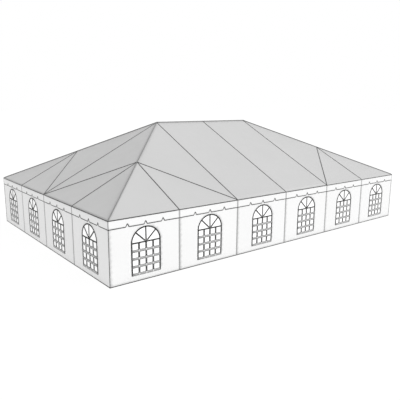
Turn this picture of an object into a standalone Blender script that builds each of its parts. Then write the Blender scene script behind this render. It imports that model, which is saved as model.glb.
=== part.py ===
"""Frame tent with a hipped top: 60 ft long, 40 ft wide, with walls 8 ft high.

Units are metres, with +Z up. The origin is the middle of the footprint on the ground.
+X runs along the long side, and the front of the tent faces -Y.
"""

import math

import bmesh
import bpy
from mathutils import Matrix, Vector

# Driving dimensions
FOOT = 0.3048
INCH = FOOT / 12
BAY = 10 * FOOT
BAYS_ALONG = 6
BAYS_ACROSS = 4
LENGTH = BAYS_ALONG * BAY
WIDTH = BAYS_ACROSS * BAY
EAVE_HEIGHT = 8 * FOOT
PITCH = 6 / 12

# Fabric. The solids are thicker than the real 0.5 mm coated cloth.
TOP_THICK = 0.003
VALANCE_THICK = 0.003
WALL_THICK = 0.003
SHEET_THICK = 0.002
GAP = 0.0003

# Valance
VALANCE_DROP = 13 * INCH
SCALLOPS_PER_BAY = 4
NOTCH_HALF_WIDTH = 0.090
NOTCH_RISE = 0.115
NOTCH_STEPS = 6
NOTCH_SHARPNESS = 1.4

# Arched windows
WINDOW_WIDTH = 4 * FOOT
WINDOW_SILL = 11 * INCH
WINDOW_SPRING = 4.8 * FOOT
WINDOW_RISE = 22 * INCH
ARCH_STEPS = 12
SHEET_BOTTOM = 0.20
SHEET_TOP = 2.10

# Aluminium frame
TUBE_RADIUS = 2.5 * INCH / 2
SLEEVE_RADIUS = 0.0365
SLEEVE_REACH = 0.16
SLEEVE_LAP = 0.02
TUBE_SIDES = 12
PLATE_SIDE = 0.150
PLATE_THICK = 0.008

# Worked out from the driving dimensions
HALF_LENGTH = LENGTH / 2
HALF_WIDTH = WIDTH / 2
COS_PITCH = 1 / math.hypot(1, PITCH)
TOP_DEPTH = TOP_THICK / COS_PITCH
VALANCE_TOP = EAVE_HEIGHT - TOP_DEPTH - GAP
WALL_TOP = VALANCE_TOP
WALL_INSET = VALANCE_THICK + GAP
SHEET_INSET = WALL_INSET + WALL_THICK + GAP
LEG_INSET = SHEET_INSET + SLEEVE_RADIUS
FRAME_DEPTH = (TOP_THICK + GAP + SLEEVE_RADIUS) / COS_PITCH
FRAME_EAVE = EAVE_HEIGHT + PITCH * LEG_INSET - FRAME_DEPTH
UP = Vector((0, 0, 1))


def clear_scene():
    for obj in list(bpy.data.objects):
        bpy.data.objects.remove(obj)


def make_material(name, colour, roughness, metallic=0.0):
    material = bpy.data.materials.new(name)
    material.use_nodes = True
    shader = material.node_tree.nodes["Principled BSDF"]
    shader.inputs["Base Color"].default_value = (*colour, 1)
    shader.inputs["Roughness"].default_value = roughness
    shader.inputs["Metallic"].default_value = metallic
    return material


def link(name, data, material):
    obj = bpy.data.objects.new(name, data)
    data.materials.append(material)
    bpy.context.scene.collection.objects.link(obj)
    return obj


# The tent's plan

def edge_distance(x, y):
    """How far a point of the plan lies inside the nearest eave."""
    return min(HALF_LENGTH - abs(x), HALF_WIDTH - abs(y))


def top_height(x, y):
    """Height of the outer face of the fabric top."""
    return EAVE_HEIGHT + PITCH * edge_distance(x, y)


def frame_point(x, y):
    """The point on the axes of the roof tubes over a place in the plan."""
    return Vector((x, y, FRAME_EAVE + PITCH * (edge_distance(x, y) - LEG_INSET)))


def grid_lines(bays, half):
    """Leg lines along one direction: the two outer ones stand inside the walls."""
    lines = [-half + i * BAY for i in range(bays + 1)]
    lines[0] += LEG_INSET
    lines[-1] -= LEG_INSET
    return lines


LEG_X = grid_lines(BAYS_ALONG, HALF_LENGTH)
LEG_Y = grid_lines(BAYS_ACROSS, HALF_WIDTH)
CROWN_X = [LEG_X[2], LEG_X[3], LEG_X[4]]
HIP_X = {"left": LEG_X[1], "right": LEG_X[5]}
HIP_Y = {"front": LEG_Y[1], "back": LEG_Y[3]}
SIDE_SIGN = {"left": -1, "right": 1, "front": -1, "back": 1}


# Fabric top

def convex_slope(name, corners, material):
    """A flat slope over plan corners that run anticlockwise seen from above."""
    bm = bmesh.new()
    outer = [bm.verts.new((x, y, top_height(x, y))) for x, y in corners]
    inner = [bm.verts.new((x, y, top_height(x, y) - TOP_DEPTH)) for x, y in corners]
    bm.faces.new(outer)
    bm.faces.new(inner[::-1])
    for i in range(len(corners)):
        j = (i + 1) % len(corners)
        bm.faces.new((outer[j], outer[i], inner[i], inner[j]))
    mesh = bpy.data.meshes.new(name)
    bm.to_mesh(mesh)
    bm.free()
    link(name, mesh, material)


def make_top(material):
    """Four slopes. The long ones meet at the ridge, and the end ones fit between them."""
    ridge = HALF_LENGTH - HALF_WIDTH
    mitre = GAP / math.sqrt(2)
    for side in ("front", "back"):
        sign = SIDE_SIGN[side]
        corners = [
            (sign * (HALF_LENGTH - mitre), sign * HALF_WIDTH),
            (-sign * (HALF_LENGTH - mitre), sign * HALF_WIDTH),
            (-sign * ridge, sign * mitre),
            (sign * ridge, sign * mitre),
        ]
        convex_slope(f"{side}_top", corners, material)
    for side in ("left", "right"):
        sign = SIDE_SIGN[side]
        corners = [
            (sign * HALF_LENGTH, -sign * (HALF_WIDTH - mitre)),
            (sign * HALF_LENGTH, sign * (HALF_WIDTH - mitre)),
            (sign * (ridge + mitre), 0),
        ]
        convex_slope(f"{side}_top", corners, material)


# Upright sheets: valances, wall panels and window sheets

def upright_sheet(name, loops, side, inset, thick, material):
    """A flat sheet on one side of the tent, filled between (along, height) loops.

    Along runs with +X on the long sides and with +Y on the short ones.
    """
    curve = bpy.data.curves.new(name, "CURVE")
    curve.dimensions = "2D"
    curve.fill_mode = "BOTH"
    curve.extrude = thick / 2
    flip = {"front": 1, "right": 1, "back": -1, "left": -1}[side]
    for loop in loops:
        spline = curve.splines.new("POLY")
        spline.points.add(len(loop) - 1)
        for point, (along, height) in zip(spline.points, loop):
            point.co = (flip * along, height, 0, 1)
        spline.use_cyclic_u = True
    obj = link(name, curve, material)
    turn = {"front": 0, "right": 90, "back": 180, "left": -90}[side]
    obj.rotation_euler = (math.radians(90), 0, math.radians(turn))
    middle = inset + thick / 2
    if side in ("front", "back"):
        obj.location.y = SIDE_SIGN[side] * (HALF_WIDTH - middle)
    else:
        obj.location.x = SIDE_SIGN[side] * (HALF_LENGTH - middle)
    return obj


def rectangle(start, end, bottom, top):
    return [(start, bottom), (end, bottom), (end, top), (start, top)]


def side_half(side):
    return HALF_LENGTH if side in ("front", "back") else HALF_WIDTH


def side_bays(side):
    return BAYS_ALONG if side in ("front", "back") else BAYS_ACROSS


def scalloped_edge(side):
    """Points along the valance's lower edge: a bell-shaped notch between scallops."""
    bottom = EAVE_HEIGHT - VALANCE_DROP
    points = []
    for bay in range(side_bays(side)):
        for scallop in range(1, SCALLOPS_PER_BAY):
            centre = -side_half(side) + BAY * (bay + scallop / SCALLOPS_PER_BAY)
            for step in range(NOTCH_STEPS + 1):
                offset = 2 * step / NOTCH_STEPS - 1
                bell = (0.5 + 0.5 * math.cos(math.pi * offset)) ** NOTCH_SHARPNESS
                points.append((centre + offset * NOTCH_HALF_WIDTH, bottom + bell * NOTCH_RISE))
    return points


def make_valances(material):
    """The long valances run corner to corner and the short ones fit between them."""
    bottom = EAVE_HEIGHT - VALANCE_DROP
    for side in ("front", "back", "left", "right"):
        half = side_half(side)
        if side in ("left", "right"):
            half -= VALANCE_THICK + GAP
        outline = [(-half, bottom), *scalloped_edge(side), (half, bottom)]
        outline += [(half, VALANCE_TOP), (-half, VALANCE_TOP)]
        upright_sheet(f"{side}_valance", [outline], side, 0, VALANCE_THICK, material)


def window_outline(centre):
    """An arched opening, anticlockwise from its lower left corner."""
    half = WINDOW_WIDTH / 2
    points = [(centre - half, WINDOW_SILL), (centre + half, WINDOW_SILL)]
    for step in range(ARCH_STEPS + 1):
        angle = math.pi * step / ARCH_STEPS
        along = centre + half * math.cos(angle)
        points.append((along, WINDOW_SPRING + WINDOW_RISE * math.sin(angle)))
    return points


def make_walls(wall_material, sheet_material):
    """One wall panel for each bay, and one clear sheet behind each side's windows."""
    for side in ("front", "back", "left", "right"):
        half = side_half(side)
        is_long = side in ("front", "back")
        end = half - (WALL_INSET if is_long else SHEET_INSET)
        for bay in range(side_bays(side)):
            start = -half + bay * BAY + GAP / 2
            stop = start + BAY - GAP
            outline = rectangle(max(start, -end), min(stop, end), 0, WALL_TOP)
            opening = window_outline(-half + (bay + 0.5) * BAY)
            name = f"{side}_wall_{bay + 1}"
            upright_sheet(name, [outline, opening], side, WALL_INSET, WALL_THICK, wall_material)
        end = half - (SHEET_INSET if is_long else SHEET_INSET + SHEET_THICK + GAP)
        outline = rectangle(-end, end, SHEET_BOTTOM, SHEET_TOP)
        name = f"{side}_window_sheet"
        upright_sheet(name, [outline], side, SHEET_INSET, SHEET_THICK, sheet_material)


# Frame tubes

def rod(start, end, radius, facing):
    """A round bar between two points, with one of its corners turned to facing."""
    axis = (end - start).normalized()
    side = (facing - axis * facing.dot(axis)).normalized()
    across = axis.cross(side)
    bm = bmesh.new()
    rings = []
    for centre in (start, end):
        ring = []
        for i in range(TUBE_SIDES):
            angle = 2 * math.pi * i / TUBE_SIDES
            spoke = side * math.cos(angle) + across * math.sin(angle)
            ring.append(bm.verts.new(centre + spoke * radius))
        rings.append(ring)
    for i in range(TUBE_SIDES):
        j = (i + 1) % TUBE_SIDES
        bm.faces.new((rings[0][i], rings[0][j], rings[1][j], rings[1][i]))
    bm.faces.new(rings[0][::-1])
    bm.faces.new(rings[1])
    mesh = bpy.data.meshes.new("rod")
    bm.to_mesh(mesh)
    bm.free()
    return mesh


def block(low, high):
    """An upright box between two corners."""
    bm = bmesh.new()
    size = high - low
    bmesh.ops.create_cube(bm, size=1, matrix=Matrix.Diagonal((*size, 1)))
    bmesh.ops.translate(bm, vec=(low + high) / 2, verts=bm.verts)
    mesh = bpy.data.meshes.new("block")
    bm.to_mesh(mesh)
    bm.free()
    return mesh


def ball(centre):
    """The round knuckle of a corner fitting."""
    bm = bmesh.new()
    place = Matrix.Translation(centre)
    bmesh.ops.create_uvsphere(
        bm, u_segments=TUBE_SIDES, v_segments=TUBE_SIDES // 2, radius=SLEEVE_RADIUS, matrix=place
    )
    mesh = bpy.data.meshes.new("ball")
    bm.to_mesh(mesh)
    bm.free()
    return mesh


def helper_collection(name, meshes):
    """Hidden shapes that a Boolean joins to a piece."""
    collection = bpy.data.collections.new(name)
    bpy.context.scene.collection.children.link(collection)
    for mesh in meshes:
        helper = bpy.data.objects.new(name, mesh)
        helper.hide_render = True
        helper.display_type = "WIRE"
        collection.objects.link(helper)
    collection.hide_render = True
    return collection


def fuse(name, shapes, material):
    """One solid made of overlapping shapes."""
    for shape in shapes:
        shape.shade_smooth()
        shape.set_sharp_from_angle(angle=math.radians(40))
    obj = link(name, shapes[0], material)
    if len(shapes) > 1:
        union = obj.modifiers.new("Union", "BOOLEAN")
        union.operation = "UNION"
        union.operand_type = "COLLECTION"
        union.collection = helper_collection(f"{name}_shapes", shapes[1:])
    return obj


def sleeve(centre, towards, facing, skip=0.0):
    """A fitting's sleeve that points from its centre, or from a little way out, to a point."""
    axis = (towards - centre).normalized()
    start = centre + axis * skip
    return rod(start, start + axis * SLEEVE_REACH, SLEEVE_RADIUS, facing)


def tube(start, end, facing, start_skip, end_skip):
    """A tube between two fittings' centres, which stops short of each by its skip."""
    axis = (end - start).normalized()
    return rod(start + axis * start_skip, end - axis * end_skip, TUBE_RADIUS, facing)


def clear_skip(direction, axes):
    """How far from its centre a sleeve's flat end clears the sleeves along other axes."""
    leans = [abs(direction.normalized().dot(axis.normalized())) for axis in axes]
    return max((SLEEVE_RADIUS * (1 + lean) + GAP) / math.sqrt(1 - lean**2) for lean in leans)


def rafter(upper, foot, facing, axes, upper_skip=0.0):
    """A roof tube down from a fitting, with a sleeve at its foot that clears other axes."""
    foot_skip = clear_skip(upper - foot, axes)
    foot_sleeve = sleeve(foot, upper, facing, foot_skip)
    return [tube(upper, foot, facing, upper_skip, foot_skip + SLEEVE_LAP), foot_sleeve]


def slope_normal(side):
    """The outward direction of the roof slope over one side of the tent."""
    if side in ("front", "back"):
        return Vector((0, SIDE_SIGN[side] * PITCH, 1)).normalized()
    return Vector((SIDE_SIGN[side] * PITCH, 0, 1)).normalized()


def eave_axis(side):
    return Vector((1, 0, 0)) if side in ("front", "back") else Vector((0, 1, 0))


def leg_point(side, index):
    """The place of an eave fitting, counted along +X or +Y."""
    if side in ("front", "back"):
        return Vector((LEG_X[index], SIDE_SIGN[side] * (HALF_WIDTH - LEG_INSET), FRAME_EAVE))
    return Vector((SIDE_SIGN[side] * (HALF_LENGTH - LEG_INSET), LEG_Y[index], FRAME_EAVE))


def foot_plate(foot, inward_x, inward_y):
    """A plate under a leg, which reaches inwards from the back of the wall."""
    shift = PLATE_SIDE / 2 - SLEEVE_RADIUS
    middle = foot + Vector((inward_x * shift, inward_y * shift, PLATE_THICK / 2))
    size = Vector((PLATE_SIDE, PLATE_SIDE, PLATE_THICK))
    return block(middle - size / 2, middle + size / 2)


def make_eave_frame(side, material):
    """An eave tube with its fittings, legs and foot plates.

    The long sides carry the corner legs, and the short ones fit between them.
    """
    is_long = side in ("front", "back")
    along = eave_axis(side)
    last = side_bays(side)
    first_point, last_point = leg_point(side, 0), leg_point(side, last)
    end_skip = 0 if is_long else SLEEVE_RADIUS + GAP
    lap = 0 if is_long else SLEEVE_LAP
    shapes = [tube(first_point, last_point, UP, end_skip + lap, end_skip + lap)]
    shapes.append(sleeve(first_point, last_point, UP, end_skip))
    shapes.append(sleeve(last_point, first_point, UP, end_skip))
    for index in range(last + 1):
        at_corner = index in (0, last)
        if at_corner and not is_long:
            continue
        centre = leg_point(side, index)
        foot = Vector((centre.x, centre.y, 0))
        inward = {"front": (0, 1), "back": (0, -1), "left": (1, 0), "right": (-1, 0)}[side]
        if at_corner:
            inward = (-1 if index else 1, inward[1])
            shapes.append(ball(centre))
        else:
            reach = along * SLEEVE_REACH
            shapes.append(rod(centre - reach, centre + reach, SLEEVE_RADIUS, UP))
        shapes.append(rod(foot + UP * PLATE_THICK / 2, centre, TUBE_RADIUS, along))
        shapes.append(foot_plate(foot, *inward))
    fuse(f"{side}_eave_frame", shapes, material)


def make_rafter_frame(name, x, end_side, material):
    """Two rafters and the crown fitting that joins them across the tent."""
    crown = frame_point(x, 0)
    shapes = []
    for side in ("front", "back"):
        eave = Vector((x, SIDE_SIGN[side] * (HALF_WIDTH - LEG_INSET), FRAME_EAVE))
        normal = slope_normal(side)
        shapes += rafter(crown, eave, normal, [eave_axis(side)])
        shapes.append(sleeve(crown, eave, normal))
    for sign in (-1, 1):
        if end_side is None or SIDE_SIGN[end_side] != sign:
            shapes.append(sleeve(crown, crown + Vector((sign, 0, 0)), UP))
    if end_side:
        eave = leg_point(end_side, BAYS_ACROSS // 2)
        shapes.append(sleeve(crown, eave, slope_normal(end_side)))
        for side in ("front", "back"):
            hip = frame_point(HIP_X[end_side], HIP_Y[side])
            shapes.append(sleeve(crown, hip, UP))
    fuse(name, shapes, material)


def make_hip_frame(end_side, side, material):
    """A hip rafter, with the short rafters that spread from the fitting at its middle."""
    at_left, at_front = end_side == "left", side == "front"
    hub = frame_point(HIP_X[end_side], HIP_Y[side])
    corner = leg_point(side, 0 if at_left else BAYS_ALONG)
    crown = frame_point(CROWN_X[0] if at_left else CROWN_X[2], 0)
    socket = SLEEVE_REACH + GAP
    shapes = rafter(crown, corner, UP, [eave_axis(side)], upper_skip=socket)
    shapes += [sleeve(hub, corner, UP), sleeve(hub, crown, UP)]
    for foot_side, near, bays in (
        (side, at_left, BAYS_ALONG),
        (end_side, at_front, BAYS_ACROSS),
    ):
        normal = slope_normal(foot_side)
        for step in (1, 2):
            foot = leg_point(foot_side, step if near else bays - step)
            axes = [eave_axis(foot_side)] if step == 1 else [eave_axis(foot_side), crown - foot]
            shapes += rafter(hub, foot, normal, axes)
            shapes.append(sleeve(hub, foot, normal))
    fuse(f"{side}_{end_side}_hip_frame", shapes, material)


def make_frame(material):
    for side in ("front", "back", "left", "right"):
        make_eave_frame(side, material)
    make_rafter_frame("left_rafter_frame", CROWN_X[0], "left", material)
    make_rafter_frame("middle_rafter_frame", CROWN_X[1], None, material)
    make_rafter_frame("right_rafter_frame", CROWN_X[2], "right", material)
    crowns = [frame_point(x, 0) for x in CROWN_X]
    socket = SLEEVE_REACH + GAP
    for name, start, end in (("left_ridge_tube", 0, 1), ("right_ridge_tube", 1, 2)):
        fuse(name, [tube(crowns[start], crowns[end], UP, socket, socket)], material)
    for end_side, crown in (("left", crowns[0]), ("right", crowns[2])):
        eave = leg_point(end_side, BAYS_ACROSS // 2)
        normal = slope_normal(end_side)
        shapes = rafter(crown, eave, normal, [eave_axis(end_side)], upper_skip=socket)
        fuse(f"{end_side}_end_rafter", shapes, material)
        for side in ("front", "back"):
            make_hip_frame(end_side, side, material)


def main():
    clear_scene()
    top = make_material("top_fabric", (0.44, 0.44, 0.44), 0.55)
    valance = make_material("valance_fabric", (0.80, 0.80, 0.80), 0.55)
    wall = make_material("wall_fabric", (0.80, 0.80, 0.80), 0.55)
    film = make_material("window_film", (0.93, 0.94, 0.94), 0.15)
    metal = make_material("frame_tube", (0.62, 0.63, 0.64), 0.38, 1.0)
    make_top(top)
    make_valances(valance)
    make_walls(wall, film)
    make_frame(metal)


main()
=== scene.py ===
"""The look of the frame tent: cloth, seams, windows, tubes, light and camera.

Units are metres, in the CAD's frame: +X along the front, +Z up, and the front faces -Y.
"""

import math
from functools import partial

import bpy
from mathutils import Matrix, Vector, geometry, noise


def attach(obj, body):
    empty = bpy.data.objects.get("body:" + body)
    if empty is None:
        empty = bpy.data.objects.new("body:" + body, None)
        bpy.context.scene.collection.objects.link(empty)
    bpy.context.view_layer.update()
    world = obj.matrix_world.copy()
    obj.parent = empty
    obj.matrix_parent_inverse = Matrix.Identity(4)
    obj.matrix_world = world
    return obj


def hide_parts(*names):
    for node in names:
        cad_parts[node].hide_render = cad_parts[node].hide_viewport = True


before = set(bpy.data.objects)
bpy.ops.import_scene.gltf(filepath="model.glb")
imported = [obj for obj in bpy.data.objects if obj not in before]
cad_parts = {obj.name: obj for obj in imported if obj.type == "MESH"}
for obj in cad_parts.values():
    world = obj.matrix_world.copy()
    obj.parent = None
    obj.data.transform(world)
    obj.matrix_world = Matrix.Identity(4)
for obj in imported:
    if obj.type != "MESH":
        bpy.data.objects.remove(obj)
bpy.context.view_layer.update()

# The tent's main sizes, as in the CAD
FOOT = 0.3048
INCH = FOOT / 12
BAY = 10 * FOOT
SIDES = ("front", "right", "back", "left")
BAYS = {"front": 6, "back": 6, "left": 4, "right": 4}
HALF_LENGTH = 3 * BAY
HALF_WIDTH = 2 * BAY
HALF = {"front": HALF_LENGTH, "back": HALF_LENGTH, "left": HALF_WIDTH, "right": HALF_WIDTH}
EAVE = 8 * FOOT
PITCH = 0.5
SLOPE = math.hypot(1, PITCH)

# How far the wall cloth and the window film stand out from the tent's outer plane, where the
# valance hangs
WALL_OUT = -0.0033
FILM_OUT = -0.0075

VALANCE_BOTTOM = EAVE - 13 * INCH
NOTCH_HALF_WIDTH = 0.090
NOTCH_RISE = 0.115
WALL_TOP = EAVE - 0.03
WINDOW_HALF = 2 * FOOT
WINDOW_SILL = 11 * INCH
WINDOW_SPRING = 4.8 * FOOT
WINDOW_RISE = 22 * INCH
PANE_WIDE = WINDOW_HALF / 2
PANE_HIGH = (WINDOW_SPRING - WINDOW_SILL) / 4

# The cloth's thickness, and the spacing of the points along its straight edges
TOP_THICK = 0.0012
WALL_THICK = 0.001
EDGE_STEP = 0.15


# Small tools for materials. The sizes of yarns, twill, creases and stitches are in metres.

YARN = 0.0015
TWILL = 0.004
TWILL_LEAN = 30.0
FOLD_WIDE = 0.76
FOLD_HIGH = 0.61
CREASE = 0.012
STITCH = 0.008
# Where a tape's rows of stitches run, and half their width, as shares of its half width
STITCH_ROW = 0.72
STITCH_HALF = 0.05


def new_material(name):
    material = bpy.data.materials.new(name)
    material.use_nodes = True
    tree = material.node_tree
    return material, tree, tree.nodes["Principled BSDF"]


def add_node(tree, kind, **values):
    """A new node, with sockets set by name and other settings set as attributes."""
    node = tree.nodes.new(kind)
    for key, value in values.items():
        if key in node.inputs:
            node.inputs[key].default_value = value
        else:
            setattr(node, key, value)
    return node


def math_node(tree, operation, *values):
    node = tree.nodes.new("ShaderNodeMath")
    node.operation = operation
    for socket, value in zip(node.inputs, values):
        if isinstance(value, (int, float)):
            socket.default_value = value
        else:
            tree.links.new(value, socket)
    return node.outputs[0]


def noise_value(tree, place, scale, detail=3.0, roughness=0.5):
    node = add_node(tree, "ShaderNodeTexNoise", Scale=scale, Detail=detail, Roughness=roughness)
    tree.links.new(place, node.inputs["Vector"])
    return node.outputs["Fac"]


def spread(tree, value, low, high, start=0.25, end=0.75, kind="LINEAR"):
    """A value that goes from low to high as another goes from start to end."""
    node = add_node(tree, "ShaderNodeMapRange", interpolation_type=kind)
    node.inputs["From Min"].default_value = start
    node.inputs["From Max"].default_value = end
    node.inputs["To Min"].default_value = low
    node.inputs["To Max"].default_value = high
    tree.links.new(value, node.inputs["Value"])
    return node.outputs["Result"]


def grey_colour(tree, value):
    node = tree.nodes.new("ShaderNodeCombineColor")
    for socket in node.inputs:
        tree.links.new(value, socket)
    return node.outputs[0]


def add_bump(tree, shader, height, strength, distance=0.004):
    bump = add_node(tree, "ShaderNodeBump", Strength=strength, Distance=distance)
    tree.links.new(height, bump.inputs["Height"])
    tree.links.new(bump.outputs[0], shader.inputs["Normal"])


def cloth_material(name, tone, wrinkle=0.15, vary=0.02, soil=0.0, tape=False, rough=0.52,
                   gloss=0.32):
    """Coated cloth: its yarns' print, soft sheen, slack wrinkles, fold creases and soiling.

    A tape has a twill and two rows of stitches in place of the creases.
    """
    material, tree, shader = new_material(name)
    place = tree.nodes.new("ShaderNodeTexCoord").outputs["Object"]
    along, across = sewing_place(tree)
    cloudy = spread(tree, noise_value(tree, place, 0.55, 4.0), tone * (1 - vary), tone * (1 + vary))
    streaks = spread(tree, noise_value(tree, place, 9.0, 5.0, 0.6), 1 - vary / 2, 1 + vary / 2)
    value = math_node(tree, "MULTIPLY", cloudy, streaks)
    if soil:
        value = math_node(tree, "MULTIPLY", value, soiling(tree, place, soil))
    if tape:
        thread = stitch_rows(tree, along, across)
        pale = math_node(tree, "MULTIPLY_ADD", thread, 0.7, 1.0)
        value = math_node(tree, "MULTIPLY", value, pale)
        relief = tape_relief(tree, along, across, thread)
    else:
        relief = sheet_relief(tree, place, along, across)
    slack = math_node(tree, "MULTIPLY", noise_value(tree, place, 3.2, 2.0, 0.45), 6.0)
    patchy = noise_value(tree, place, 1.7, 4.0)
    tree.links.new(grey_colour(tree, value), shader.inputs["Base Color"])
    tree.links.new(spread(tree, patchy, rough - 0.07, rough + 0.09), shader.inputs["Roughness"])
    shader.inputs["Specular IOR Level"].default_value = gloss
    shader.inputs["Sheen Weight"].default_value = 0.05
    add_bump(tree, shader, math_node(tree, "ADD", slack, relief), wrinkle)
    return material


def soiling(tree, place, soil):
    """The share of its tone that cloth keeps: a little less up to a ragged line near the ground."""
    parts = tree.nodes.new("ShaderNodeSeparateXYZ")
    tree.links.new(place, parts.inputs[0])
    ragged = spread(tree, noise_value(tree, place, 2.5, 5.0, 0.7), 0.0, 0.16)
    above = math_node(tree, "SUBTRACT", parts.outputs["Z"], ragged)
    return spread(tree, above, 1 - soil, 1.0, start=0.02, end=0.30, kind="SMOOTHSTEP")


def tape_relief(tree, along, across, thread):
    """A slanting twill, with the threads of the stitches pressed into it."""
    run = math_node(tree, "MULTIPLY", along, 2 * math.pi / TWILL)
    twill = math_node(tree, "MULTIPLY_ADD", across, TWILL_LEAN, run)
    relief = math_node(tree, "MULTIPLY", math_node(tree, "SINE", twill), 0.25)
    return math_node(tree, "SUBTRACT", relief, thread)


def sheet_relief(tree, place, along, across):
    """The print of the yarns, and fold creases that are worn away in patches."""
    worn = spread(tree, noise_value(tree, place, 0.9, 2.0), 0.0, 1.0)
    down, level = crease(tree, along, FOLD_WIDE), crease(tree, across, FOLD_HIGH)
    folds = math_node(tree, "MULTIPLY", math_node(tree, "MAXIMUM", down, level), worn)
    yarns = math_node(tree, "MULTIPLY", weave_height(tree, along, across), 0.12)
    return math_node(tree, "ADD", yarns, folds)


def sewing_place(tree):
    """The two UV values: metres over a sheet, or metres along a tape and -1 to 1 across it."""
    uv = tree.nodes.new("ShaderNodeUVMap")
    uv.uv_map = "UVMap"
    parts = tree.nodes.new("ShaderNodeSeparateXYZ")
    tree.links.new(uv.outputs[0], parts.inputs[0])
    return parts.outputs["X"], parts.outputs["Y"]


def weave_height(tree, along, across):
    """The print of the base cloth's yarns through its coating."""
    warp = math_node(tree, "SINE", math_node(tree, "MULTIPLY", along, math.pi / YARN))
    weft = math_node(tree, "SINE", math_node(tree, "MULTIPLY", across, math.pi / YARN))
    return math_node(tree, "MULTIPLY", warp, weft)


def crease(tree, along, spacing):
    """Faint creases, evenly spaced, where the cloth was folded to be stored."""
    share = math_node(tree, "FRACT", math_node(tree, "DIVIDE", along, spacing))
    off = math_node(tree, "ABSOLUTE", math_node(tree, "SUBTRACT", share, 0.5))
    slope = math_node(tree, "MULTIPLY_ADD", off, -spacing / CREASE, 1.0)
    return math_node(tree, "MAXIMUM", slope, 0.0)


def stitch_rows(tree, along, across):
    """1 on the threads of the two rows of stitches near a tape's edges, and 0 elsewhere."""
    run = math_node(tree, "FRACT", math_node(tree, "DIVIDE", along, STITCH))
    thread = math_node(tree, "LESS_THAN", run, 0.7)
    off_middle = math_node(tree, "ABSOLUTE", across)
    off_row = math_node(tree, "ABSOLUTE", math_node(tree, "SUBTRACT", off_middle, STITCH_ROW))
    return math_node(tree, "MULTIPLY", thread, math_node(tree, "LESS_THAN", off_row, STITCH_HALF))


def film_material():
    """Soft clear plastic film: milky, glossy and slightly rippled. It glows faintly, which is
    painted light standing in for light coming through it.
    """
    material, tree, shader = new_material("clear_film")
    place = tree.nodes.new("ShaderNodeTexCoord").outputs["Object"]
    haze = spread(tree, noise_value(tree, place, 1.3, 3.0), 0.86, 0.90)
    tree.links.new(grey_colour(tree, haze), shader.inputs["Base Color"])
    shader.inputs["Roughness"].default_value = 0.14
    shader.inputs["Specular IOR Level"].default_value = 0.45
    shader.inputs["Alpha"].default_value = 0.86
    # Painted light: a faint white glow that stands in for light coming through the film, so its
    # panes stay white on the shaded side
    shader.inputs["Emission Color"].default_value = (1, 1, 1, 1)
    shader.inputs["Emission Strength"].default_value = 0.10
    add_bump(tree, shader, noise_value(tree, place, 4.0, 2.0), 0.25)
    return material


def tube_material():
    """Drawn aluminium tube: satin, with long draw lines, handling marks and dulled patches."""
    material, tree, shader = new_material("aluminium_tube")
    place = tree.nodes.new("ShaderNodeTexCoord").outputs["Object"]
    dull = noise_value(tree, place, 2.2, 5.0, 0.65)
    tree.links.new(grey_colour(tree, spread(tree, dull, 0.52, 0.66)), shader.inputs["Base Color"])
    marks = noise_value(tree, place, 60.0, 3.0, 0.7)
    tree.links.new(spread(tree, marks, 0.28, 0.48), shader.inputs["Roughness"])
    shader.inputs["Metallic"].default_value = 0.95
    add_bump(tree, shader, marks, 0.08, 0.001)
    return material


# Each cloth's and tape's tone, as linear grey
TOP_CLOTH = cloth_material("top_cloth", 0.420, wrinkle=0.10, vary=0.012)
VALANCE_CLOTH = cloth_material("valance_cloth", 0.735, wrinkle=0.12, vary=0.01)
WALL_CLOTH = cloth_material("wall_cloth", 0.73, wrinkle=0.15, vary=0.01, soil=0.025)
SEAM_TAPE = cloth_material("seam_tape", 0.075, vary=0.05, tape=True)
CREST_TAPE = cloth_material("crest_tape", 0.155, vary=0.05, tape=True)
JOINT_TAPE = cloth_material("joint_tape", 0.35, vary=0.05, tape=True)
HEM_TAPE = cloth_material("hem_tape", 0.030, vary=0.05, soil=0.08, tape=True)
EDGE_TAPE = cloth_material("edge_tape", 0.042, vary=0.05, tape=True)
DARK_TAPE = cloth_material("window_tape", 0.014, vary=0.08, tape=True, rough=0.55, gloss=0.2)
BAR_TAPE = cloth_material("crossbar_tape", 0.333, vary=0.03, tape=True)
EAVE_TAPE = cloth_material("eave_tape", 0.038, vary=0.06, rough=0.48)
FILM = film_material()
TUBE = tube_material()


# Places on the tent. Along runs anticlockwise seen from above, so on the front it is +X.

def side_place(side, along, height, out):
    """The point on a side of the tent, out from its outer plane."""
    if side == "front":
        return (along, -HALF_WIDTH - out, height)
    if side == "right":
        return (HALF_LENGTH + out, along, height)
    if side == "back":
        return (-along, HALF_WIDTH + out, height)
    return (-HALF_LENGTH - out, -along, height)


def roof_place(x, y, out):
    """The point over a place in the plan, out from the top's flat slopes."""
    inside = min(HALF_LENGTH - abs(x), HALF_WIDTH - abs(y))
    return (x, y, EAVE + PITCH * inside + out * SLOPE)


# Wall cloth is taut above this height, and a valance lies flat for this far under the eave
SLACK_TOP = 2.08
VALANCE_HELD = 0.06
# A valance stands out this far over a wall's joint strap, in a bell of this half width
OVER_STRAP = 0.0115
STRAP_BELL = 0.03


def share_of(value, start, end):
    """How far a value has gone from start to end, from 0 to 1."""
    return min(max((value - start) / (end - start), 0), 1)


def wall_swell(side, along, height):
    """How far slack wall cloth stands out between the legs, over its lower part."""
    up = math.sin(math.pi * share_of(height, 0, SLACK_TOP))
    across = math.sin(math.pi * along / BAY) ** 2
    seed = 7.0 * SIDES.index(side)
    folds = noise.noise(Vector((along * 1.5, height * 0.35, seed)))
    soft = noise.noise(Vector((along * 0.7, height * 0.8, seed + 3)))
    return up**0.7 * (0.006 * across + across**0.5 * (0.006 * folds + 0.005 * soft + 0.005))


def wall_place(side, along, height, out=0.0):
    return side_place(side, along, height, WALL_OUT + out + wall_swell(side, along, height))


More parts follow.
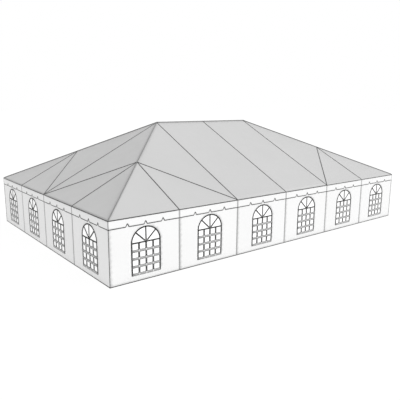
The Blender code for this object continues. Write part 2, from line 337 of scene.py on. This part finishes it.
def valance_swell(side, along, height):
    """A valance hangs free: its lower edge waves a little, and it passes over the wall's joints."""
    down = share_of(height, EAVE - VALANCE_HELD, VALANCE_BOTTOM)
    seed = 5.0 * SIDES.index(side)
    wave = noise.noise(Vector((along * 1.9, height * 0.6, seed)))
    off_corner = HALF[side] - abs(along)
    free = down**1.5 * (0.004 + 0.006 * wave * min(1, off_corner / 0.4))
    if off_corner < BAY / 2:
        return max(free, 0)
    off_joint = abs(along - round(along / BAY) * BAY)
    below_eave = share_of(height, EAVE - 0.015, EAVE - 0.055)
    return max(free, OVER_STRAP * math.exp(-(off_joint / STRAP_BELL) ** 2) * below_eave)


def valance_place(side, along, height, out=0.0):
    return side_place(side, along, height, out + valance_swell(side, along, height))


# Small tools for shapes. A part is (points, faces, one UV for each point).

def make_piece(name, parts, material, thick=0.0):
    """One smooth piece made of parts, which rides on the tent."""
    points, faces, uvs = [], [], []
    for part_points, part_faces, part_uvs in parts:
        first = len(points)
        points += part_points
        faces += [[first + i for i in face] for face in part_faces]
        uvs += part_uvs
    mesh = bpy.data.meshes.new(name)
    mesh.from_pydata(points, [], faces)
    layer = mesh.uv_layers.new(name="UVMap")
    for loop in mesh.loops:
        layer.data[loop.index].uv = uvs[loop.vertex_index]
    mesh.shade_smooth()
    mesh.materials.append(material)
    piece = bpy.data.objects.new(name, mesh)
    bpy.context.scene.collection.objects.link(piece)
    if thick:
        shell = piece.modifiers.new("Thickness", "SOLIDIFY")
        shell.thickness = thick
        shell.offset = -1
    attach(piece, "root")
    return piece


def is_inside(point, loop):
    """True if a flat point lies inside a closed loop."""
    x, y = point
    inside = False
    for (x1, y1), (x2, y2) in zip(loop, loop[1:] + loop[:1]):
        if (y1 > y) != (y2 > y) and x < x1 + (y - y1) * (x2 - x1) / (y2 - y1):
            inside = not inside
    return inside


def edge_gap(point, loop):
    """The distance from a flat point to a closed loop."""
    spot = Vector(point)
    gaps = []
    for start, end in zip(loop, loop[1:] + loop[:1]):
        near, share = geometry.intersect_point_line(spot, Vector(start), Vector(end))
        share = min(max(share, 0), 1)
        gaps.append((Vector(start).lerp(Vector(end), share) - spot.to_2d()).length)
    return min(gaps)


def flat_sheet(outline, place, spacing, hole=None, extra=()):
    """A sheet cut to an outline, with points inside it so that it can hang in folds."""
    loops = [outline] + ([hole] if hole else [])
    points = [Vector(point) for loop in loops for point in loop]
    edges = []
    first = 0
    for loop in loops:
        count = len(loop)
        edges += [(first + i, first + (i + 1) % count) for i in range(count)]
        first += count
    low_x, high_x = min(p[0] for p in outline), max(p[0] for p in outline)
    low_y, high_y = min(p[1] for p in outline), max(p[1] for p in outline)
    columns = max(1, round((high_x - low_x) / spacing))
    rows = max(1, round((high_y - low_y) / spacing))
    extra = [Vector(point) for point in extra]
    for column in range(1, columns):
        for row in range(1, rows):
            x = low_x + (high_x - low_x) * (column + 0.5 * (row % 2)) / columns
            point = (x, low_y + (high_y - low_y) * row / rows)
            is_cut = hole and (is_inside(point, hole) or edge_gap(point, hole) < spacing / 2)
            is_cut = is_cut or any((spot - Vector(point)).length < spacing / 3 for spot in extra)
            if is_inside(point, outline) and not is_cut:
                if edge_gap(point, outline) > spacing / 3:
                    points.append(Vector(point))
    points += extra
    cut = geometry.delaunay_2d_cdt(points, edges, [], 1, 1e-6)
    flat, faces = cut[0], []
    for face in cut[2]:
        middle = sum((flat[i] for i in face), Vector((0, 0))) / len(face)
        if is_inside(middle, outline) and not (hole and is_inside(middle, hole)):
            faces.append(list(face))
    return [place(*point) for point in flat], faces, [tuple(point) for point in flat]


RIBBON_PROFILE = ((-1.0, 0.0), (-0.82, 0.8), (0.0, 1.0), (0.82, 0.8), (1.0, 0.0))


def ribbon(path, place, width, base, rise, closed=False, profile=RIBBON_PROFILE, sizes=()):
    """A flat tape along a path, with mitred corners and slightly rounded edges.

    Sizes are the shares of the tape's full size at its first points.
    """
    count = len(path)
    points, faces, uvs = [], [], []
    run = 0.0
    for i, point in enumerate(path):
        here = Vector(point)
        before = Vector(path[i - 1]) if i or closed else None
        after = Vector(path[(i + 1) % count]) if i < count - 1 or closed else None
        ways = []
        if before is not None:
            ways.append((here - before).normalized())
        if after is not None:
            ways.append((after - here).normalized())
        way = sum(ways, Vector((0, 0))).normalized()
        across = Vector((way.y, -way.x))
        stretch = 1 / max(0.3, abs(across.dot(Vector((ways[0].y, -ways[0].x)))))
        if i:
            run += (here - before).length
        scale = sizes[i] if i < len(sizes) else 1.0
        for share, lift in profile:
            spot = here + across * (share * scale * stretch * width / 2)
            points.append(place(spot.x, spot.y, base + lift * scale * rise))
            uvs.append((run, share))
    size = len(profile)
    steps = count if closed else count - 1
    for i in range(steps):
        a, b = i * size, (i + 1) % count * size
        for k in range(size - 1):
            faces.append([a + k, a + k + 1, b + k + 1, b + k])
    if not closed:
        faces.append(list(range(size))[::-1])
        faces.append([len(points) - size + k for k in range(size)])
    return points, faces, uvs


def band(outer, inner, place, base, rise):
    """A tape filling the space between two closed loops that have matching points."""
    count = len(outer)
    size = len(RIBBON_PROFILE)
    points, faces, uvs = [], [], []
    run = 0.0
    for i in range(count):
        far, near = Vector(outer[i]), Vector(inner[i])
        run += (far - Vector(outer[i - 1])).length if i else 0
        for share, lift in RIBBON_PROFILE:
            spot = far.lerp(near, (share + 1) / 2)
            points.append(place(spot.x, spot.y, base + lift * rise))
            uvs.append((run, share))
    for i in range(count):
        a, b = i * size, (i + 1) % count * size
        for k in range(size - 1):
            faces.append([a + k, b + k, b + k + 1, a + k + 1])
    return points, faces, uvs


def tube(path, radius, sides=10, closed=False):
    """A round cord or pipe along a path in space."""
    count = len(path)
    points, faces, uvs = [], [], []
    run = 0.0
    for i in range(count):
        here = Vector(path[i])
        before = Vector(path[i - 1]) if i or closed else here
        after = Vector(path[(i + 1) % count]) if i < count - 1 or closed else here
        way = (after - before).normalized()
        side = way.cross(Vector((0, 0, 1)) if abs(way.z) < 0.9 else Vector((1, 0, 0))).normalized()
        top = side.cross(way)
        run += (here - before).length if i else 0
        for k in range(sides):
            angle = 2 * math.pi * k / sides
            spot = here + (side * math.cos(angle) + top * math.sin(angle)) * radius
            points.append(tuple(spot))
            uvs.append((run, k / sides))
    for i in range(count if closed else count - 1):
        a, b = i * sides, (i + 1) % count * sides
        for k in range(sides):
            m = (k + 1) % sides
            faces.append([a + k, b + k, b + m, a + m])
    if not closed:
        faces.append(list(range(sides)))
        faces.append([(count - 1) * sides + k for k in range(sides)][::-1])
    return points, faces, uvs


def steps_between(start, end, spacing):
    """Evenly spaced flat points from start to end, about spacing apart."""
    start, end = Vector(start), Vector(end)
    count = max(1, round((end - start).length / spacing))
    return [tuple(start.lerp(end, i / count)) for i in range(count + 1)]


# The fabric top: one sheet, pulled tight over the tubes and a little slack between them

SEAM_STEPS = 28
SAG = 0.022


def roof_panels():
    """The plan corners, in bays from the middle, of the areas between the roof tubes."""
    quarter = [
        [(3, 2), (2, 2), (2, 1)],
        [(2, 2), (1, 2), (2, 1)],
        [(1, 2), (1, 0), (2, 1)],
        [(1, 2), (0, 2), (0, 0), (1, 0)],
        [(3, 2), (2, 1), (3, 1)],
        [(3, 1), (2, 1), (3, 0)],
        [(3, 0), (2, 1), (1, 0)],
    ]
    panels = []
    for sx, sy in ((1, 1), (-1, 1), (-1, -1), (1, -1)):
        for corners in quarter:
            turned = [(sx * x, sy * y) for x, y in corners]
            panels.append(turned if sx * sy > 0 else turned[::-1])
    return panels


def panel_grid(corners):
    """Plan points over a panel, each with its share of the sag, and the faces between."""
    n = SEAM_STEPS
    corners = [Vector(corner) * BAY for corner in corners]
    grid = {}
    faces = []
    if len(corners) == 3:
        for i in range(n + 1):
            for j in range(n + 1 - i):
                a, b = i / n, j / n
                c = 1 - a - b
                grid[i, j] = (corners[0] * c + corners[1] * a + corners[2] * b, 27 * a * b * c)
        for i in range(n):
            for j in range(n - i):
                faces.append([(i, j), (i + 1, j), (i, j + 1)])
                if i + j < n - 1:
                    faces.append([(i + 1, j), (i + 1, j + 1), (i, j + 1)])
        return grid, faces
    for i in range(n + 1):
        for j in range(n + 1):
            u, v = i / n, j / n
            low = corners[0].lerp(corners[1], u)
            high = corners[3].lerp(corners[2], u)
            grid[i, j] = (low.lerp(high, v), math.sin(math.pi * u) * math.sin(math.pi * v))
    for i in range(n):
        for j in range(n):
            faces.append([(i, j), (i + 1, j), (i + 1, j + 1), (i, j + 1)])
    return grid, faces


def canopy_part():
    """The whole top, with the points on its seams shared between panels."""
    points, faces, uvs, known = [], [], [], {}
    for corners in roof_panels():
        grid, cells = panel_grid(corners)
        span = max((Vector(a) - Vector(b)).length for a, b in zip(corners, corners[1:]))
        index = {}
        for key, (spot, share) in grid.items():
            place = (round(spot.x, 4), round(spot.y, 4))
            if place not in known:
                slack = share * SAG * (0.6 + 0.4 * span)
                ripple = noise.noise(Vector((spot.x * 0.8, spot.y * 0.8, 2.0)))
                x, y, z = roof_place(spot.x, spot.y, 0)
                known[place] = len(points)
                points.append((x, y, z - slack * (1 + 0.25 * ripple)))
                uvs.append(place)
            index[key] = known[place]
        faces += [[index[key] for key in cell] for cell in cells]
    return points, faces, uvs


def seam_lines():
    """The plan ends, in bays from the middle, of the seams over hips and rafters, eave first."""
    hips, rafters = [], []
    for sx in (-1, 1):
        for sy in (-1, 1):
            hips.append(((3 * sx, 2 * sy), (sx, 0)))
            rafters.append(((2 * sx, 2 * sy), (2 * sx, sy)))
            rafters.append(((sx, 2 * sy), (2 * sx, sy)))
            rafters.append(((3 * sx, sy), (2 * sx, sy)))
            rafters.append(((3 * sx, 0), (2 * sx, sy)))
            rafters.append(((sx, 2 * sy), (sx, 0)))
        rafters.append(((3 * sx, 0), (sx, 0)))
    for sy in (-1, 1):
        rafters.append(((0, 2 * sy), (0, 0)))
    return hips, rafters


FLAT_WELT = (
    (-1.0, -0.35), (-0.93, 0.1), (-0.45, 0.25), (-0.28, 0.8), (0.0, 1.0),
    (0.28, 0.8), (0.45, 0.25), (0.93, 0.1), (1.0, -0.35),
)
ROUND_WELT = (
    (-1.0, -0.3), (-0.92, 0.3), (-0.6, 0.8), (0.0, 1.0), (0.6, 0.8), (0.92, 0.3), (1.0, -0.3),
)
# How far along a tape it has which share of its full size
TAPER = ((0.0, 0.5), (0.02, 0.72), (0.05, 0.9), (0.10, 1.0))
NO_TAPER = ((0.0, 1.0),)

# The width and rise of the welts on hips and ridge, and of the tapes on the rafters' seams
CREST_WIDTH = 0.040
CREST_RISE = 0.036
RAFTER_WIDTH = 0.055
RAFTER_RISE = 0.018
# The piping along the eaves: its radius, its drop and the rounding of its path at the corners
EAVE_PIPE = 0.017
EAVE_DROP = 0.004
PIPE_CORNER = 0.012


def roof_tapes(lines, width, rise, profile, taper=TAPER):
    """Tapes along lines on the roof, which narrow into the eave at their first end."""
    parts = []
    for start, end in lines:
        start, end = Vector(start) * BAY, Vector(end) * BAY
        way = (end - start).normalized()
        first = [tuple(start + way * reach) for reach, size in taper]
        path = first + steps_between(start, end, 0.25)[1:]
        sizes = [size for reach, size in taper]
        parts.append(ribbon(path, roof_place, width, 0.0, rise, profile=profile, sizes=sizes))
    return parts


def eave_path():
    """The closed path of the piping round the eaves, with rounded corners."""
    path = []
    for sx, sy, turn in ((-1, -1, 180), (1, -1, 270), (1, 1, 0), (-1, 1, 90)):
        for step in range(4):
            angle = math.radians(turn + 30 * step)
            x = sx * (HALF_LENGTH - PIPE_CORNER) + PIPE_CORNER * math.cos(angle)
            y = sy * (HALF_WIDTH - PIPE_CORNER) + PIPE_CORNER * math.sin(angle)
            path.append((x, y, EAVE - EAVE_DROP))
    return path


def make_top():
    canopy = make_piece("canopy", [canopy_part()], TOP_CLOTH, thick=TOP_THICK)
    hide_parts("front_top", "back_top", "left_top", "right_top")
    hips, rafters = seam_lines()
    crest = (CREST_WIDTH, CREST_RISE, ROUND_WELT)
    ridge_welt = roof_tapes([((-1, 0), (1, 0))], *crest, taper=NO_TAPER)
    hip_welts = roof_tapes(hips, *crest)
    rafter_tapes = roof_tapes(rafters, RAFTER_WIDTH, RAFTER_RISE, FLAT_WELT)
    piping = [tube(eave_path(), EAVE_PIPE, closed=True)]
    tapes = [
        make_piece("ridge_welt", ridge_welt, CREST_TAPE),
        make_piece("hip_welts", hip_welts, CREST_TAPE),
        make_piece("rafter_tapes", rafter_tapes, SEAM_TAPE),
        make_piece("eave_piping", piping, EAVE_TAPE),
    ]
    carriers = [f"{side}_eave_frame" for side in SIDES]
    carriers += [f"{name}_rafter_frame" for name in ("left", "middle", "right")]


# Valances

SEAM_WIDTH = 0.078
SEAM_PROFILE = (
    (-1.0, 0.0), (-0.82, 0.8), (-0.41, 0.95), (0.0, 1.0), (0.41, 0.95), (0.82, 0.8), (1.0, 0.0),
)
# Distances from a joint, and heights, at which a valance and its seam tape have points, so that
# they bend alike over the wall's strap
JOINT_STEPS = tuple(share * SEAM_WIDTH / 2 for share in (0.41, 0.82, 1.0, 1.5, 2.5))
JOINT_HEIGHTS = [VALANCE_BOTTOM + 0.025 * row for row in range(1, 13)]
# The points of a valance's cloth lie about this far apart
VALANCE_STEP = 0.06
# The binding on a valance's lower edge: its width and rise, and its middle above the edge
BINDING_WIDTH = 0.033
BINDING_RISE = 0.006
BINDING_UP = 0.013


def scalloped_edge(side):
    """The valance's lower edge: a peaked notch between the scallops, none at the legs."""
    points = []
    for bay in range(BAYS[side]):
        start = -HALF[side] + bay * BAY
        points.append((start, VALANCE_BOTTOM))
        points += [(start + step, VALANCE_BOTTOM) for step in JOINT_STEPS]
        for scallop in range(1, 4):
            centre = start + scallop * BAY / 4
            for step in range(13):
                offset = step / 6 - 1
                bell = (0.5 + 0.5 * math.cos(math.pi * offset)) ** 1.4
                height = VALANCE_BOTTOM + bell * NOTCH_RISE
                points.append((centre + offset * NOTCH_HALF_WIDTH, height))
        points += [(start + BAY - step, VALANCE_BOTTOM) for step in JOINT_STEPS[::-1]]
    points.append((HALF[side], VALANCE_BOTTOM))
    return points


def make_valances():
    for side in SIDES:
        place = partial(valance_place, side)
        edge = scalloped_edge(side)
        high = EAVE - 0.004
        top = steps_between((HALF[side], high), (-HALF[side], high), VALANCE_STEP)
        joints = [bay * BAY - HALF[side] for bay in range(1, BAYS[side])]
        offs = [sign * step for step in (0,) + JOINT_STEPS for sign in (-1, 1)]
        bends = [(joint + off, z) for joint in joints for off in offs for z in JOINT_HEIGHTS]
        sheet = flat_sheet(edge + top, place, VALANCE_STEP, extra=bends)
        cloth = make_piece(
            f"{side}_valance_cloth", [sheet], VALANCE_CLOTH, thick=TOP_THICK
        )
        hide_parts(f"{side}_valance")
        path = [(x, z + BINDING_UP) for x, z in edge]
        bound = ribbon(path, place, BINDING_WIDTH, 0.0, BINDING_RISE, profile=ROUND_WELT)
        binding = make_piece(f"{side}_valance_binding", [bound], EDGE_TAPE)
        seams = []
        for joint in joints:
            heights = [VALANCE_BOTTOM + 0.02] + JOINT_HEIGHTS + [EAVE - 0.012]
            path = [(joint, z) for z in heights]
            seams.append(ribbon(path, place, SEAM_WIDTH, 0.0005, 0.0015, profile=SEAM_PROFILE))
        seam = make_piece(f"{side}_valance_seams", seams, JOINT_TAPE)


# Walls and windows

def window_loop(centre, grow=0.0, arch_steps=24):
    """The arched outline of a window, anticlockwise, grown by a little on all sides."""
    half, sill, rise = WINDOW_HALF + grow, WINDOW_SILL - grow, WINDOW_RISE + grow
    points = steps_between((centre - half, sill), (centre + half, sill), 0.16)
    points += steps_between((centre + half, sill), (centre + half, WINDOW_SPRING), 0.16)[1:]
    for step in range(1, arch_steps + 1):
        angle = math.pi * step / arch_steps
        points.append((centre + half * math.cos(angle), WINDOW_SPRING + rise * math.sin(angle)))
    points += steps_between((centre - half, WINDOW_SPRING), (centre - half, sill), 0.16)[1:-1]
    return points


# The film runs on behind the cloth by this much, to be welded to it
WELD = 0.03
# The dark tapes' widths: beside an upright, above and below a bar, half a spoke, under the sill
UPRIGHT_EDGE = 0.034
CROSS_EDGE = 0.003
FAN_EDGE = 0.026
SILL_EDGE = 0.012
# The pale tapes' widths: down an upright's middle, along a bar, over the place where they cross
UPRIGHT_CORE = 0.006
CROSS_CORE = 0.084
CROSSING_WIDTH = 0.026
# The ring round a window: its width, and its middle outside the opening's edge
RING_WIDTH = 0.038
RING_OUT = 0.007
# How far the dark borders reach past the opening, and the bars' half length
FRAME_EDGE = 0.004
BAR_REACH = WINDOW_HALF - 0.014
# The slanting spokes stop this far from the hub
HUB_GAP = 0.070
# The bars start behind the wall's plane and rise in front of it
BAR_BASE = -0.0040
BAR_RISE = 0.016
BAR_TOP = BAR_BASE + BAR_RISE


def rectangle(left, low, right, high, steps=3):
    """A rectangle's outline, anticlockwise, with a few points along each side."""
    corners = [(left, low), (right, low), (right, high), (left, high)]
    points = []
    for start, end in zip(corners, corners[1:] + corners[:1]):
        start, end = Vector(start), Vector(end)
        points += [tuple(start.lerp(end, i / steps)) for i in range(steps)]
    return points


def pane_borders(centre):
    """The outer and inner outlines of the dark border around each pane of a window."""
    borders = []
    half = WINDOW_HALF + FRAME_EDGE
    for column in range(4):
        left = centre + (column - 2) * PANE_WIDE + UPRIGHT_CORE / 2
        right = left + PANE_WIDE - UPRIGHT_CORE
        left = centre - half if column == 0 else left
        right = centre + half if column == 3 else right
        for row in range(4):
            low = WINDOW_SILL + row * PANE_HIGH + CROSS_CORE / 2
            high = low + PANE_HIGH - CROSS_CORE
            high = WINDOW_SPRING if row == 3 else high
            outer = rectangle(left, low, right, high)
            inner = rectangle(
                left + UPRIGHT_EDGE, low + CROSS_EDGE, right - UPRIGHT_EDGE, high - CROSS_EDGE
            )
            borders.append((outer, inner))
    return borders


def fan_tapes(centre, place):
    """The dark tapes of a window's arch. The slanting spokes stop just short of the hub."""
    half, rise = WINDOW_HALF + FRAME_EDGE, WINDOW_RISE + FRAME_EDGE
    middle_half, middle_rise = half - FAN_EDGE / 2, rise - FAN_EDGE / 2
    hub = Vector((centre, WINDOW_SPRING))
    arch = []
    for step in range(33):
        angle = math.pi * step / 32
        reach = Vector((middle_half * math.cos(angle), middle_rise * math.sin(angle)))
        arch.append(tuple(hub + reach))
    spring = steps_between(
        (centre - half, WINDOW_SPRING), (centre + half, WINDOW_SPRING), EDGE_STEP
    )
    tapes = [
        ribbon(arch, place, FAN_EDGE, BAR_BASE, BAR_RISE),
        ribbon(spring, place, 2 * FAN_EDGE, BAR_BASE, BAR_RISE + 0.0005),
    ]
    for spoke in (1, 2, 3):
        angle = math.pi * spoke / 4
        end = hub + Vector((half * math.cos(angle), rise * math.sin(angle)))
        start = hub if spoke == 2 else hub + (end - hub).normalized() * HUB_GAP
        path = steps_between(start, end, EDGE_STEP)
        tapes.append(ribbon(path, place, 2 * FAN_EDGE, BAR_BASE, BAR_RISE - 0.0005))
    return tapes


def ring_path(centre):
    """The path of a window's ring, from its right foot over the arch to its left foot."""
    loop = window_loop(centre, RING_OUT, 32)
    sill_steps = sum(1 for point in loop if point[1] == loop[0][1])
    path = loop[sill_steps - 1:] + loop[:1]
    right_foot, left_foot = ((end[0], WINDOW_SILL - CROSS_CORE / 2) for end in (path[0], path[-1]))
    return [right_foot] + path + [left_foot]


def bar_path(centre, height):
    return steps_between((centre - BAR_REACH, height), (centre + BAR_REACH, height), EDGE_STEP)


def dark_tapes(centre, place):
    """The ring, the panes' borders, the fan and the sill's lower edge of one window."""
    sill_edge = WINDOW_SILL - CROSS_CORE / 2 + 0.4 * SILL_EDGE
    tapes = [ribbon(ring_path(centre), place, RING_WIDTH, -0.0005, BAR_TOP + 0.001)]
    for outer, inner in pane_borders(centre):
        tapes.append(band(outer, inner, place, BAR_BASE, BAR_RISE))
    tapes += fan_tapes(centre, place)
    tapes.append(
        ribbon(bar_path(centre, sill_edge), place, SILL_EDGE, BAR_BASE, BAR_RISE + 0.0007)
    )
    return tapes


def pale_tapes(centre, place):
    """The cores of one window's uprights, with a patch over each crossing, and its bars."""
    uprights, bars = [], []
    columns = [centre + column * PANE_WIDE for column in (-1, 0, 1)]
    low, high = WINDOW_SILL + 0.004, WINDOW_SPRING - 0.015
    for along in columns:
        path = steps_between((along, low), (along, high), EDGE_STEP)
        uprights.append(ribbon(path, place, UPRIGHT_CORE, BAR_BASE, BAR_RISE - 0.001))
    for row in range(4):
        height = WINDOW_SILL + row * PANE_HIGH
        bars.append(
            ribbon(bar_path(centre, height), place, CROSS_CORE, BAR_BASE, BAR_RISE + 0.0003)
        )
        for along in columns:
            reach = CROSS_CORE / 2 - 0.002
            path = steps_between((along, height - reach), (along, height + reach), 0.03)
            uprights.append(ribbon(path, place, CROSSING_WIDTH, BAR_TOP - 0.0008, 0.0020))
    return uprights, bars


def make_windows(side, place, centres):
    """Film, dark welded borders and pale bars of all the windows of one side."""
    def film_place(along, height):
        return place(along, height, FILM_OUT - WALL_OUT)

    films, borders, uprights, crosses = [], [], [], []
    for centre in centres:
        films.append(flat_sheet(window_loop(centre, WELD), film_place, 0.10))
        borders += dark_tapes(centre, place)
        window_uprights, window_bars = pale_tapes(centre, place)
        uprights += window_uprights
        crosses += window_bars
    film = make_piece(f"{side}_window_film", films, FILM)
    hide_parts(f"{side}_window_sheet")
    border = make_piece(f"{side}_window_borders", borders, DARK_TAPE)
    upright = make_piece(f"{side}_window_uprights", uprights, WALL_CLOTH)
    cross = make_piece(f"{side}_window_crossbars", crosses, BAR_TAPE)


# The wall cloth's points lie about this far apart
WALL_STEP = 0.11
# The straps over the walls' joints and the hem at the ground
STRAP_WIDTH = 0.085
STRAP_RISE = 0.012
HEM_WIDTH = 0.030
HEM_RISE = 0.012
CORNER_PIPE = 0.010


def wall_outline(low, high):
    """A wall cloth's outline, anticlockwise, from one end along the side to the other."""
    corners = [(low, 0), (high, 0), (high, WALL_TOP), (low, WALL_TOP)]
    points = []
    for start, end in zip(corners, corners[1:] + corners[:1]):
        points += steps_between(start, end, EDGE_STEP)[:-1]
    return points


def make_walls():
    opening = 2 * WINDOW_HALF * (WINDOW_SPRING - WINDOW_SILL)
    opening += math.pi / 2 * WINDOW_HALF * WINDOW_RISE
    for side in SIDES:
        place = partial(wall_place, side)
        # The CAD counts the bays of each side along +X or +Y
        flip = 1 if side in ("front", "right") else -1
        centres = [flip * (-HALF[side] + (i + 0.5) * BAY) for i in range(BAYS[side])]
        ends = HALF[side] + WALL_OUT
        for i, centre in enumerate(centres):
            low, high = max(centre - BAY / 2, -ends), min(centre + BAY / 2, ends)
            sheet = flat_sheet(wall_outline(low, high), place, WALL_STEP, window_loop(centre))
            cloth = make_piece(
                f"{side}_wall_cloth_{i + 1}", [sheet], WALL_CLOTH, thick=WALL_THICK
            )
            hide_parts(f"{side}_wall_{i + 1}")
        straps = []
        for bay in range(1, BAYS[side]):
            along = -HALF[side] + bay * BAY
            path = steps_between((along, 0.002), (along, WALL_TOP - 0.05), EDGE_STEP)
            straps.append(ribbon(path, place, STRAP_WIDTH, 0.0, STRAP_RISE, profile=FLAT_WELT))
        make_piece(f"{side}_joint_straps", straps, JOINT_TAPE)
        path = steps_between((-ends, HEM_WIDTH / 2), (ends, HEM_WIDTH / 2), EDGE_STEP)
        hem = [ribbon(path, place, HEM_WIDTH, 0.0, HEM_RISE, profile=ROUND_WELT)]
        make_piece(f"{side}_hem_band", hem, HEM_TAPE)
        make_windows(side, place, centres)


def make_corners():
    """A piped edge down each corner of the tent."""
    parts = []
    for sx in (-1, 1):
        for sy in (-1, 1):
            x, y = sx * (HALF_LENGTH - 0.003), sy * (HALF_WIDTH - 0.003)
            path = [(x, y, z * 0.12) for z in range(21)] + [(x, y, EAVE - 0.008)]
            parts.append(tube(path, CORNER_PIPE))
    make_piece("corner_piping", parts, EAVE_TAPE)


# Frame, ground, light and camera

def finish_frame():
    """The tubes keep their CAD shape and get their real surface."""
    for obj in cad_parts.values():
        if obj.name.endswith(("_frame", "_tube", "_rafter")):
            for slot in obj.material_slots:
                slot.material = TUBE


def make_ground():
    """A pale studio floor that stays light in the tent's own shade."""
    mesh = bpy.data.meshes.new("studio_floor")
    reach = 600.0
    corners = [(sx * reach, sy * reach, -0.002) for sx, sy in ((-1, -1), (1, -1), (1, 1), (-1, 1))]
    mesh.from_pydata(corners, [], [(0, 1, 2, 3)])
    floor = bpy.data.objects.new("studio_floor", mesh)
    bpy.context.scene.collection.objects.link(floor)
    material, tree, shader = new_material("studio_floor")
    shader.inputs["Base Color"].default_value = (0.08, 0.08, 0.08, 1)
    shader.inputs["Roughness"].default_value = 0.9
    shader.inputs["Specular IOR Level"].default_value = 0.0
    shader.inputs["Emission Color"].default_value = (1, 1, 1, 1)
    shader.inputs["Emission Strength"].default_value = 0.93
    mesh.materials.append(material)


def make_light():
    world = bpy.data.worlds.new("studio")
    world.use_nodes = True
    background = world.node_tree.nodes["Background"]
    background.inputs["Color"].default_value = (1, 1, 1, 1)
    background.inputs["Strength"].default_value = 1.0
    bpy.context.scene.world = world
    sun = bpy.data.lights.new("key", "SUN")
    sun.energy = 2.05
    sun.angle = math.radians(18)
    lamp = bpy.data.objects.new("key", sun)
    towards = Vector((0.643, -0.46, 0.612))
    lamp.rotation_euler = towards.to_track_quat("Z", "Y").to_euler()
    bpy.context.scene.collection.objects.link(lamp)


def make_camera():
    """The photograph's viewpoint, found from the corners of the bays."""
    camera = bpy.data.cameras.new("camera")
    camera.sensor_width = 36.0
    camera.lens = 41.147
    camera.shift_x = 0.0360
    camera.shift_y = -0.0005
    camera.clip_end = 2000
    holder = bpy.data.objects.new("camera", camera)
    holder.location = (-16.166, -19.799, 6.277)
    heading, tilt = math.radians(52.908), math.radians(-11.499)
    ahead = Vector((
        math.cos(tilt) * math.cos(heading), math.cos(tilt) * math.sin(heading), math.sin(tilt)
    ))
    holder.rotation_euler = ahead.to_track_quat("-Z", "Y").to_euler()
    bpy.context.scene.collection.objects.link(holder)
    bpy.context.scene.camera = holder
    bpy.context.scene.view_settings.view_transform = "Standard"


make_camera()
make_light()
make_ground()
make_top()
make_valances()
make_walls()
make_corners()
finish_frame()
